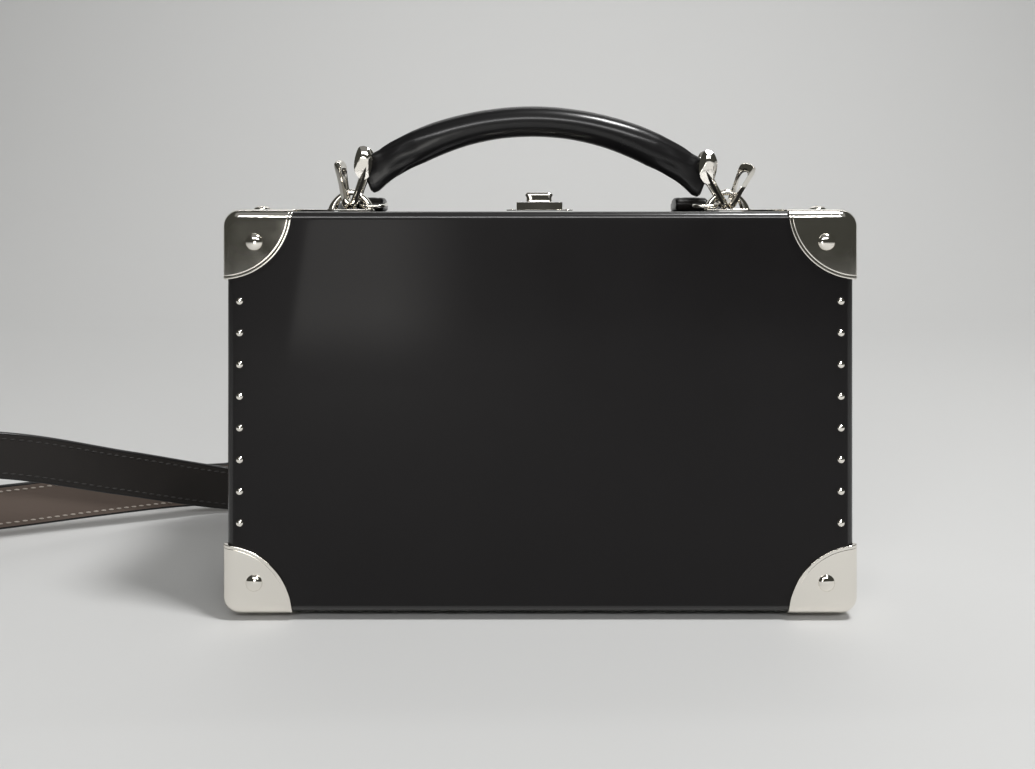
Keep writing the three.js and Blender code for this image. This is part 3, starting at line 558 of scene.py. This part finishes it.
def handleGrid():
    # superellipse section along the arc, from round in the middle to a flat upright tab, with
    # pulled creases where the roll turns into the tab and a fine closing seam underneath
    share = np.concatenate([np.linspace(0, 0.6, 40), np.linspace(0.6, 0.95, 46)[1:],
                            1 - 0.05 * np.linspace(1, 0, 14)[1:] ** 1.8])
    share = np.concatenate([-share[:0:-1], share])
    flare, press, upright, full, lift = (np.interp(np.abs(share), handleTable[:, 0], column)
                                         for column in handleTable[:, 1:].T)
    tilt = handleAngle * share * (1 - upright)
    tall = (handle["thick"] + (handle["tabWidth"] - handle["thick"]) * flare) * full / 2
    deep = (handle["thick"] + (handle["tabThick"] - handle["thick"]) * press) * full / 2
    blunt = (1 - 0.38 * press)[:, None]
    turn = np.linspace(0, 2 * np.pi, 97)[None]
    c = np.sign(np.cos(turn)) * np.abs(np.cos(turn)) ** blunt
    s = np.sign(np.sin(turn)) * np.abs(np.sin(turn)) ** blunt
    end = np.abs(share)[:, None]
    crease = bump(end, 0.8, 0.13) * (0.24 * np.cos(5 * turn + 9 * end) * bump(end, 0.82, 0.1)
                                     + 0.12 * np.cos(9 * turn - 14 * end))
    seam = -0.28 * bump(np.abs(turn - np.pi), 0.0, 0.05) * (end < 0.9)
    swell = 1 + (crease + seam) / (handle["thick"] / 2)
    up = np.stack([np.sin(tilt), 0 * tilt, np.cos(tilt)], -1)[:, None]
    middle = (handlePoint(share) + np.outer(lift, [0, 0, handle["lift"]]))[:, None]
    depth = np.array([0, 1.0, 0])
    grid = (middle + up * (tall[:, None] * c * swell)[..., None]
            + depth * (deep[:, None] * s * swell)[..., None])
    for sx in (-1, 1):
        # the faces dip in round the hole that the link passes through
        eyelet = eyeletPoint(sx)
        reach = np.hypot(grid[..., 0] - eyelet[0], grid[..., 2] - eyelet[2])
        grid[..., 1] *= 1 - 0.55 * np.exp(-(reach / 2.3) ** 4)
    return closedEnds(grid)


makePiece("rolledHandle", [handleGrid()], [handleLeather], "back",
          ["handle"], sharp=60)
print("handle made")


# ---------- loops and twisted links

link = dict(wide=1.8, thick=1.45, half=4.6, innerTwist=10, leftTwist=12, rightTwist=42,
            outerLength=15.6, leanLeft=10, leanRight=25, wire=2.6)
leaf = dict(wide=3.6, thick=1.5, long=6.6, out=1.6)
ring = dict(wire=1.4, length=8.7, front=-2.9, back=8.8, corner=2.6, lift=2.6, tilt=0.9)
ringOuter = loop["centre"] - loop["hole"] + ring["wire"]
ringMiddle = ringOuter - ring["length"] / 2
innerFoot = ringOuter + ring["wire"] / 2 + 2 * case["gap"] + link["wire"] / 2
outerFoot = innerFoot + link["wire"] + case["gap"]
footZ = topSeat + loop["plate"] + case["gap"] + link["wire"] / 2


def loopGrids(middle):
    # arch: the hole's half ellipse inside, a steeper curve outside, rounded section between
    angle = np.linspace(0, np.pi, 49)
    steep = lambda value: np.sign(value) * np.abs(value) ** 1.25
    outer = np.stack([loop["halfWidth"] * steep(np.cos(angle)),
                      loop["height"] * steep(np.sin(angle))], -1)
    inner = np.stack([loop["hole"] * np.cos(angle),
                      (loop["plate"] + loop["holeHeight"]) * np.sin(angle)], -1)
    turn = np.linspace(0, 2 * np.pi, 25)
    u = 0.5 + 0.5 * np.sign(np.cos(turn)) * np.abs(np.cos(turn)) ** 0.8
    v = loop["thick"] / 2 * np.sign(np.sin(turn)) * np.abs(np.sin(turn)) ** 0.8
    flat = inner[:, None] + (outer - inner)[:, None] * u[None, :, None]
    arch = np.stack([middle + flat[..., 0], np.broadcast_to(v, flat.shape[:2]),
                     topSeat + flat[..., 1]], -1)
    half, deep = loop["halfWidth"], loop["plateDepth"] / 2
    base = plate((middle - half, -deep, topSeat), (middle + half, deep, topSeat + loop["plate"]),
                 1.5, 0.2)
    return [closedEnds(arch), base]


def linkGrid(foot, head, twist):
    # oval centre line whose plane turns from front-to-back at the foot to the twist at the
    # head; the wire is then ground flat where it stands proud of four planes
    lengthwise = head - foot
    half = np.linalg.norm(lengthwise) / 2
    up = lengthwise / (2 * half)
    way = np.sign(foot[0])
    out = np.array([up[2] * way, 0, -up[0] * way])
    middle = (foot + head) / 2
    angle = np.linspace(0, 2 * np.pi, 97)[:-1]
    rise = link["half"] * np.cos(angle) + (half - link["half"]) * np.tanh(3 * np.cos(angle))
    turn = math.radians(twist) * (1 + rise / half) / 2
    aside = link["half"] * np.sin(angle)
    path = (middle + np.outer(rise, up) + np.outer(-aside * np.sin(turn), out)
            + np.outer(aside * np.cos(turn), [0, 1.0, 0]))
    away = path - middle
    grid = tube(path, link["wide"], link["thick"], away, sides=32, power=0.8)
    faces = [(side * 0.75 * out + np.array([0, front * 0.66, 0]), 3.2 + 0.15 * side * front)
             for side in (1, -1) for front in (-1, 1)]
    for normal, reach in faces:
        normal = normal / np.linalg.norm(normal)
        proud = np.maximum((grid - middle) @ normal - reach, 0)
        grid = grid - proud[..., None] * normal * 0.9
    return grid


def leafGrid(sx, sy):
    # flattened ellipsoid on the cheek of the handle's end, ground flat on its face and on both
    # slanting sides: a point that stands proud of a plane moves back onto it
    u = np.radians(np.linspace(-90, 90, 33))[:, None]
    v = np.linspace(0, 2 * np.pi, 49)[None]
    grid = np.stack([leaf["wide"] * np.cos(u) * np.cos(v), leaf["thick"] * np.cos(u) * np.sin(v),
                     leaf["long"] * np.sin(u) * np.ones_like(v)], -1)
    planes = [((0, 0.97, -0.24), 0.85), ((0.64, 0.75, -0.16), 1.9), ((-0.64, 0.75, 0.16), 1.9),
              ((0, 0.8, 0.6), 3.6)]
    for normal, reach in planes:
        normal = np.array(normal)
        proud = np.maximum(grid @ normal - reach, 0)
        grid = grid - proud[..., None] * normal
    grid = grid * [1, sy, 1]
    clear = handle["tabThick"] / 2 + case["gap"] + leaf["thick"]
    return grid + eyeletPoint(sx) + [sx * leaf["out"], sy * clear, 0]


def strapRingGrid(sx):
    # rounded rectangle of round wire, lower at the front where it passes through the loop
    halfX, halfY = ring["length"] / 2, (ring["back"] - ring["front"]) / 2
    flat = outline(2 * halfX, 2 * halfY, ring["corner"], 8, 6)[:-1]
    x = ringMiddle + flat[:, 0]
    y = (ring["back"] + ring["front"]) / 2 + flat[:, 1]
    forward = (ring["back"] - y) / (ring["back"] - ring["front"])
    z = topSeat + ring["lift"] - ring["tilt"] * forward
    path = np.stack([sx * x, y, z], -1)
    away = path - path.mean(axis=0)
    return tube(path, ring["wire"] / 2, ring["wire"] / 2, away, sides=16)


for side, sx in (("left", -1), ("right", 1)):
    makePiece(f"loop_{side}_dressed", loopGrids(sx * loop["centre"]), [nickel], "back",
              [f"loop_{side}"], sharp=40)
    lean = math.radians(link["leanLeft"] if sx < 0 else link["leanRight"])
    foot = np.array([sx * outerFoot, 0, footZ])
    head = foot + link["outerLength"] * np.array([sx * math.sin(lean), 0, math.cos(lean)])
    twist = link["leftTwist"] if sx < 0 else link["rightTwist"]
    makePiece(f"link_{side}_outer_dressed", [linkGrid(foot, head, twist)], [nickel], "back",
              [f"link_{side}_outer"], sharp=24)
    inner = linkGrid(np.array([sx * innerFoot, 0, footZ]), eyeletPoint(sx), link["innerTwist"])
    makePiece(f"link_{side}_inner_dressed", [inner] + [leafGrid(sx, sy) for sy in (-1, 1)],
              [nickel], "back", [f"link_{side}_inner"], sharp=24)
    makePiece(f"strapRing_{side}", [strapRingGrid(sx)], [nickel], "back",
              [f"strap_ring_{side}"], sharp=60)
print("loops, links and rings made")


# ---------- shoulder strap

strap = dict(width=19.5, thick=2.8, endWidth=12.4, endThick=5.2, lap=2.6, fold=6.4, reach=368.0,
             sweep=70.0, edgeRound=0.9, folded=20, stitchInset=2.6, stitchPitch=3.3,
             stitchLength=2.3, stitchHalfWidth=0.42, stitchHalfDepth=0.36, stitchStart=34)

# how far outside the middle of its ring the strap lies, at its end and at the back edge
strapEndOut = {-1: 3.25, 1: -4}
strapEdgeOut = {-1: 11.25, 1: 4}

# share of the way out to the far left, share of the sweep behind the back panel, share of the
# case's height above the surface, and the turn of the strap's width from level to upright
rightRun = np.array([
    [0.002, 0.121, 1.01, 0], [0.008, 0.2, 0.924, 3], [0.024, 0.271, 0.765, 14],
    [0.055, 0.386, 0.563, 31], [0.119, 0.529, 0.346, 51], [0.206, 0.657, 0.188, 66],
    [0.307, 0.729, 0.1, 79], [0.397, 0.757, 0.072, 87], [0.481, 0.729, 0.078, 90],
    [0.58, 0.386, 0.175, 90], [0.674, 0.023, 0.274, 90], [0.771, -0.343, 0.317, 90],
    [0.857, -0.657, 0.289, 90], [0.933, -0.8, 0.231, 90], [0.991, -0.657, 0.166, 90],
    [1, -0.329, 0.108, 90]])
leftRun = np.array([
    [0.002, 0.129, 1.01, 0], [0.004, 0.243, 0.924, 3], [0.01, 0.429, 0.765, 11],
    [0.022, 0.686, 0.534, 27], [0.064, 0.886, 0.303, 45], [0.143, 0.971, 0.137, 68],
    [0.239, 0.943, 0.075, 87], [0.345, 0.821, 0.071, 90], [0.444, 0.614, 0.071, 90],
    [0.553, 0.357, 0.071, 90], [0.699, 0.071, 0.071, 90], [0.829, -0.057, 0.071, 90],
    [0.938, -0.114, 0.079, 90]])


def strapOnTop(side):
    # rows x, y, z, turn, full from a ring to the back edge of the top
    foldY = ring["back"] + strap["fold"]
    x, edgeX = (side * (ringMiddle + out[side]) for out in (strapEndOut, strapEdgeOut))
    ringZ = topSeat + strap["endThick"] / 2
    restZ = topSeat + case["gap"] + strap["thick"] / 2
    flat = [[x + (edgeX - x) * share, foldY + (halfDepth - foldY) * share, restZ, 0, full]
            for share, full in ((1 / 3, 0.7), (2 / 3, 1), (1, 1))]
    return np.array([[x, ring["back"] - strap["lap"], ringZ, 0, 0], [x, foldY, ringZ, 0, 0]]
                    + flat)


def strapRun(rows, side):
    start = side * (ringMiddle + strapEdgeOut[side])
    out, behind, up, turn = rows.T
    return np.stack([start + (-strap["reach"] - start) * out,
                     halfDepth + behind * strap["sweep"],
                     case["floor"] + up * case["height"], turn, np.ones_like(out)], -1)


def smoothCurve(points, steps):
    # centripetal Catmull-Rom: on each stretch a cubic with both end slopes from its neighbours
    ends = [2 * points[:1] - points[1:2], points, 2 * points[-1:] - points[-2:-1]]
    p = np.concatenate(ends)
    knots = np.sqrt(np.linalg.norm(np.diff(p, axis=0), axis=1))[:, None]
    p0, p1, p2, p3 = p[:-3], p[1:-2], p[2:-1], p[3:]
    d0, d1, d2 = knots[:-2], knots[1:-1], knots[2:]
    slopeA = ((p1 - p0) / d0 - (p2 - p0) / (d0 + d1) + (p2 - p1) / d1) * d1
    slopeB = ((p2 - p1) / d1 - (p3 - p1) / (d1 + d2) + (p3 - p2) / d2) * d1
    t = np.linspace(0, 1, steps, endpoint=False)[None, :, None]
    a, b, sa, sb = (v[:, None] for v in (p1, p2, slopeA, slopeB))
    curve = (a + sa * t + (-3 * a + 3 * b - 2 * sa - sb) * t ** 2
             + (2 * a - 2 * b + sa + sb) * t ** 3).reshape(-1, 3)
    place = (np.arange(len(points) - 1)[:, None] + t[..., 0]).reshape(-1)
    return np.concatenate([curve, points[-1:]]), np.append(place, len(points) - 1)


def strapFrames(spacing):
    # middle, along, across and face of the strap at even steps, with its half sizes
    route = np.concatenate([strapOnTop(1), strapRun(rightRun, 1), strapRun(leftRun, -1)[::-1],
                            strapOnTop(-1)[::-1]])
    curve, place = smoothCurve(route[:, :3], 40)
    length = np.append(0, np.cumsum(np.linalg.norm(np.diff(curve, axis=0), axis=1)))
    at = np.linspace(0, length[-1], int(length[-1] / spacing) + 1)
    middle = np.stack([np.interp(at, length, column) for column in curve.T], -1)
    index = np.interp(at, length, place)
    turn = np.radians(np.interp(index, np.arange(len(route)), route[:, 3]))
    full = np.interp(index, np.arange(len(route)), route[:, 4])
    along = np.gradient(middle, axis=0)
    along /= np.linalg.norm(along, axis=1, keepdims=True)
    across = np.stack([np.cos(turn), 0 * turn, -np.sin(turn)], -1)
    across -= along * np.sum(across * along, axis=1, keepdims=True)
    across /= np.linalg.norm(across, axis=1, keepdims=True)
    face = np.cross(across, along)
    halfW = (strap["endWidth"] + (strap["width"] - strap["endWidth"]) * full) / 2
    halfT = (strap["endThick"] + (strap["thick"] - strap["endThick"]) * full) / 2
    down = halfW * np.abs(across[:, 2]) + halfT * np.abs(face[:, 2])
    middle[:, 2] = np.maximum(middle[:, 2], case["floor"] + down)
    return dict(at=at, middle=middle, along=along, across=across, face=face, halfW=halfW,
                halfT=halfT, length=length[-1])


def section(faceSteps, arcSteps):
    # rounded rectangle as signs of its corners and directions on the corner circles; kind 1
    # is the lining face, 2 the painted edges and 0 the outer face
    signs, ways, kinds = [], [], []
    corners = [(1, 1), (-1, 1), (-1, -1), (1, -1)]
    for k, (sa, sb) in enumerate(corners):
        angle = np.radians(90 * k) + np.linspace(0, np.pi / 2, arcSteps + 1)
        signs.append(np.tile([sa, sb], (arcSteps + 1, 1)))
        ways.append(np.stack([np.cos(angle), np.sin(angle)], -1))
        kinds += [2] * arcSteps
        steps = faceSteps if k in (0, 2) else 2
        share = np.linspace(0, 1, steps + 1)[1:-1, None]
        after = np.array(corners[(k + 1) % 4])
        signs.append(np.array([sa, sb]) + (after - [sa, sb]) * share)
        ways.append(np.tile(ways[-1][-1:], (steps - 1, 1)))
        kinds += [{0: 1, 1: 2, 2: 0, 3: 2}[k]] * steps
    signs, ways = np.concatenate(signs), np.concatenate(ways)
    return (np.concatenate([signs, signs[:1]]), np.concatenate([ways, ways[:1]]),
            np.array(kinds))


def strapGrid(frames):
    signs, ways, kinds = section(14, 4)
    rounding = strap["edgeRound"]
    halfs = np.stack([frames["halfW"], frames["halfT"]], -1)[:, None]
    flat = signs[None] * (halfs - rounding) + ways[None] * rounding
    # a shallow dip along each stitched line and a crowned middle
    crown = 1 - 0.10 * np.abs(flat[..., 0] / halfs[..., 0]) ** 4
    dip = 0.24 * bump(np.abs(flat[..., 0]), halfs[..., 0] - strap["stitchInset"], 0.5)
    flat[..., 1] = flat[..., 1] * crown - np.sign(flat[..., 1]) * dip
    # both ends are folds, round towards the ring
    left = np.minimum(frames["at"], frames["length"] - frames["at"])
    nose = np.sqrt(1 - np.clip(1 - left / (strap["endThick"] / 2), 0, 0.999) ** 2)[:, None]
    flat[..., 1] *= nose
    grid = (frames["middle"][:, None] + frames["across"][:, None] * flat[..., :1]
            + frames["face"][:, None] * flat[..., 1:])
    caps = [np.broadcast_to(frames["middle"][k], (1, grid.shape[1], 3)) for k in (0, -1)]
    uv = np.stack(np.broadcast_arrays(frames["at"][:, None], flat[..., 0]), -1)
    uv = np.concatenate([uv[:1], uv, uv[-1:]])
    # where the strap is folded back on itself, its lining face is outer leather too
    folded = np.append(left[0], left)[:, None] < strap["folded"]
    kinds = np.where(folded & (kinds == 1), 0, kinds)
    return np.concatenate([caps[0], grid, caps[1]]), uv, kinds


def stitchGrids(frames, faceSide):
    # each stitch is a short capsule lying on the strap, a little slanted
    s = np.arange(strap["stitchStart"], frames["length"] - strap["stitchStart"],
                  strap["stitchPitch"])
    pick = lambda key: np.stack([np.interp(s, frames["at"], c) for c in frames[key].T], -1)
    middle, along, across, face = (pick(key) for key in ("middle", "along", "across", "face"))
    halfW, halfT = (np.interp(s, frames["at"], frames[key]) for key in ("halfW", "halfT"))
    u = np.radians(np.linspace(-90, 90, 7))
    v = np.linspace(0, 2 * np.pi, 7)
    body = np.stack([np.outer(np.sin(u), np.ones(7)) * strap["stitchLength"] / 2,
                     np.outer(np.cos(u), np.cos(v)) * strap["stitchHalfWidth"],
                     np.outer(np.cos(u), np.sin(v)) * strap["stitchHalfDepth"]], -1)
    slant = math.radians(7)
    a = body[..., 0] * math.cos(slant) - body[..., 1] * math.sin(slant)
    b = body[..., 0] * math.sin(slant) + body[..., 1] * math.cos(slant)
    grids = []
    for edge in (-1, 1):
        lift = faceSide * (halfT - 0.12)
        centre = middle + across * (edge * (halfW - strap["stitchInset"]))[:, None] \
            + face * lift[:, None]
        grids += list(centre[:, None, None] + along[:, None, None] * a[None, ..., None]
                      + across[:, None, None] * b[None, ..., None]
                      + face[:, None, None] * body[None, ..., 2:])
    return grids


frames = strapFrames(1.2)
grid, uv, kinds = strapGrid(frames)
makePiece("shoulderStrap", [grid], [strapLeather, liningLeather, edgePaint], "back",
          ["shoulder_strap"], uvs=[uv], kinds=[kinds], sharp=60)
makePiece("strapStitchesOuter", stitchGrids(frames, -1), [darkThread], "back",
          sharp=80)
makePiece("strapStitchesLining", stitchGrids(frames, 1), [paleThread], "back",
          sharp=80)
print("strap made, length in mm:", round(frames["length"]))


# ---------- floor, lights and camera

studio = dict(floorHalf=2600, backY=900, curve=700, wallTop=2400, frontY=-2600)


def studioGrid():
    # floor that turns up into a wall behind the bag through a quarter circle
    angle = np.linspace(0, np.pi / 2, 25)
    floorY = np.linspace(studio["frontY"], studio["backY"], 12)[:-1]
    y = np.concatenate([floorY, studio["backY"] + studio["curve"] * np.sin(angle),
                        [studio["backY"] + studio["curve"]]])
    z = np.concatenate([0 * floorY, studio["curve"] * (1 - np.cos(angle)),
                        [studio["wallTop"]]]) + case["floor"]
    x = np.linspace(-studio["floorHalf"], studio["floorHalf"], 9)
    return np.stack(np.broadcast_arrays(x[None], y[:, None], z[:, None]), -1)


backdropPaper, tree = newMaterial("matt grey backdrop paper")
place = addNode(tree, "ShaderNodeTexCoord").outputs["Object"]
fibre = addNode(tree, "ShaderNodeTexNoise", {"Scale": 900.0, "Detail": 2.0}, {"Vector": place})
bumpNode = addNode(tree, "ShaderNodeBump", {"Strength": 0.05, "Distance": 0.0002},
                   {"Height": fibre.outputs["Fac"]})
shader = addNode(tree, "ShaderNodeBsdfPrincipled",
                 {"Base Color": colour("cbcbca"), "Roughness": 0.75},
                 {"Normal": bumpNode.outputs[0]})
finishMaterial(tree, shader)

backdropMesh = bpy.data.meshes.new("backdrop")
grid = studioGrid()
backdropMesh.from_pydata((grid.reshape(-1, 3) * mm).tolist(), [],
                         gridFaces(*grid.shape[:2], 0)[:, ::-1].tolist())
backdropMesh.materials.append(backdropPaper)
backdropMesh.shade_smooth()
backdrop = bpy.data.objects.new("backdrop", backdropMesh)
scene.collection.objects.link(backdrop)


def addSoftbox(name, place, target, width, height, power):
    light = bpy.data.lights.new(name, "AREA")
    light.shape, light.size, light.size_y = "RECTANGLE", width, height
    light.energy = power
    lamp = bpy.data.objects.new(name, light)
    lamp.location = place
    lamp.rotation_euler = (Vector(target) - Vector(place)).to_track_quat("-Z", "Y").to_euler()
    scene.collection.objects.link(lamp)
    return lamp


addSoftbox("keySoftbox", (0.45, -0.34, 1.4), (0, 0, 0.05), 0.26, 0.3, 16.5)
addSoftbox("frontTopSoftbox", (0, -0.85, 1.25), (0, 0, 0.1), 1.8, 1.4, 1.5)
addSoftbox("frontStrip", (0, -0.85, 0.52), (0, 0, 0.12), 0.8, 0.12, 3.5)
addSoftbox("backdropLight", (0.2, 0.9, 2.0), (0.1, 2.0, 1.3), 2.6, 0.5, 33)

# white card low behind the camera on the left, lit from its left: glow falls off to the right
# and towards its foot
card = dict(left=-0.204, slant=0.023, right=-0.03, y=-0.54, bottom=0.0, top=0.16, glow=4.2,
            fadeFrom=-0.13, fullFrom=0.06)
cardGlow, tree = newMaterial("lit white card")
place = addNode(tree, "ShaderNodeTexCoord").outputs["Object"]
axes = addNode(tree, "ShaderNodeSeparateXYZ", links={"Vector": place})
fade = addNode(tree, "ShaderNodeMapRange",
               {"From Min": card["fadeFrom"], "From Max": card["right"] - 0.01,
                "To Min": card["glow"], "To Max": 0.0}, {"Value": axes.outputs["X"]},
               interpolation_type="SMOOTHSTEP")
foot = addNode(tree, "ShaderNodeMapRange", {"From Min": 0.0, "From Max": card["fullFrom"]},
               {"Value": axes.outputs["Z"]}, interpolation_type="SMOOTHSTEP")
glow = addNode(tree, "ShaderNodeMath", links={0: fade.outputs[0], 1: foot.outputs[0]},
               operation="MULTIPLY")
emission = addNode(tree, "ShaderNodeEmission", {"Color": colour("fffdf8")},
                   {"Strength": glow.outputs[0]})
clear = addNode(tree, "ShaderNodeBsdfTransparent")
whole = addNode(tree, "ShaderNodeAddShader", links={0: emission.outputs[0],
                                                    1: clear.outputs[0]})
addNode(tree, "ShaderNodeOutputMaterial", links={"Surface": whole.outputs[0]})
cardMesh = bpy.data.meshes.new("leftCard")
cardMesh.from_pydata([(x, card["y"], z) for x, z in (
    (card["left"], card["bottom"]), (card["left"] + card["slant"], card["top"]),
    (card["right"], card["top"]), (card["right"], card["bottom"]))], [], [(0, 1, 2, 3)])
cardMesh.materials.append(cardGlow)
leftCard = bpy.data.objects.new("leftCard", cardMesh)
scene.collection.objects.link(leftCard)

world = bpy.data.worlds.new("studio")
scene.world = world
world.use_nodes = True
world.node_tree.nodes["Background"].inputs["Color"].default_value = colour("c8c8bc")
world.node_tree.nodes["Background"].inputs["Strength"].default_value = 0.09

camera = bpy.data.objects.new("camera", bpy.data.cameras.new("camera"))
camera.location = (-0.0048, -0.4, 0.1386)
camera.rotation_euler = (math.pi / 2, 0, 0)
camera.data.sensor_width = 36
photoWidth = 1035  # focal length and shifts are measured in the photo's pixels
camera.data.lens = 1042 / photoWidth * 36
camera.data.shift_x = -8.9 / photoWidth
camera.data.shift_y = -173 / photoWidth
camera.data.clip_start = 0.01
scene.collection.objects.link(camera)
scene.camera = camera
scene.view_settings.view_transform = "Standard"
print("studio made")
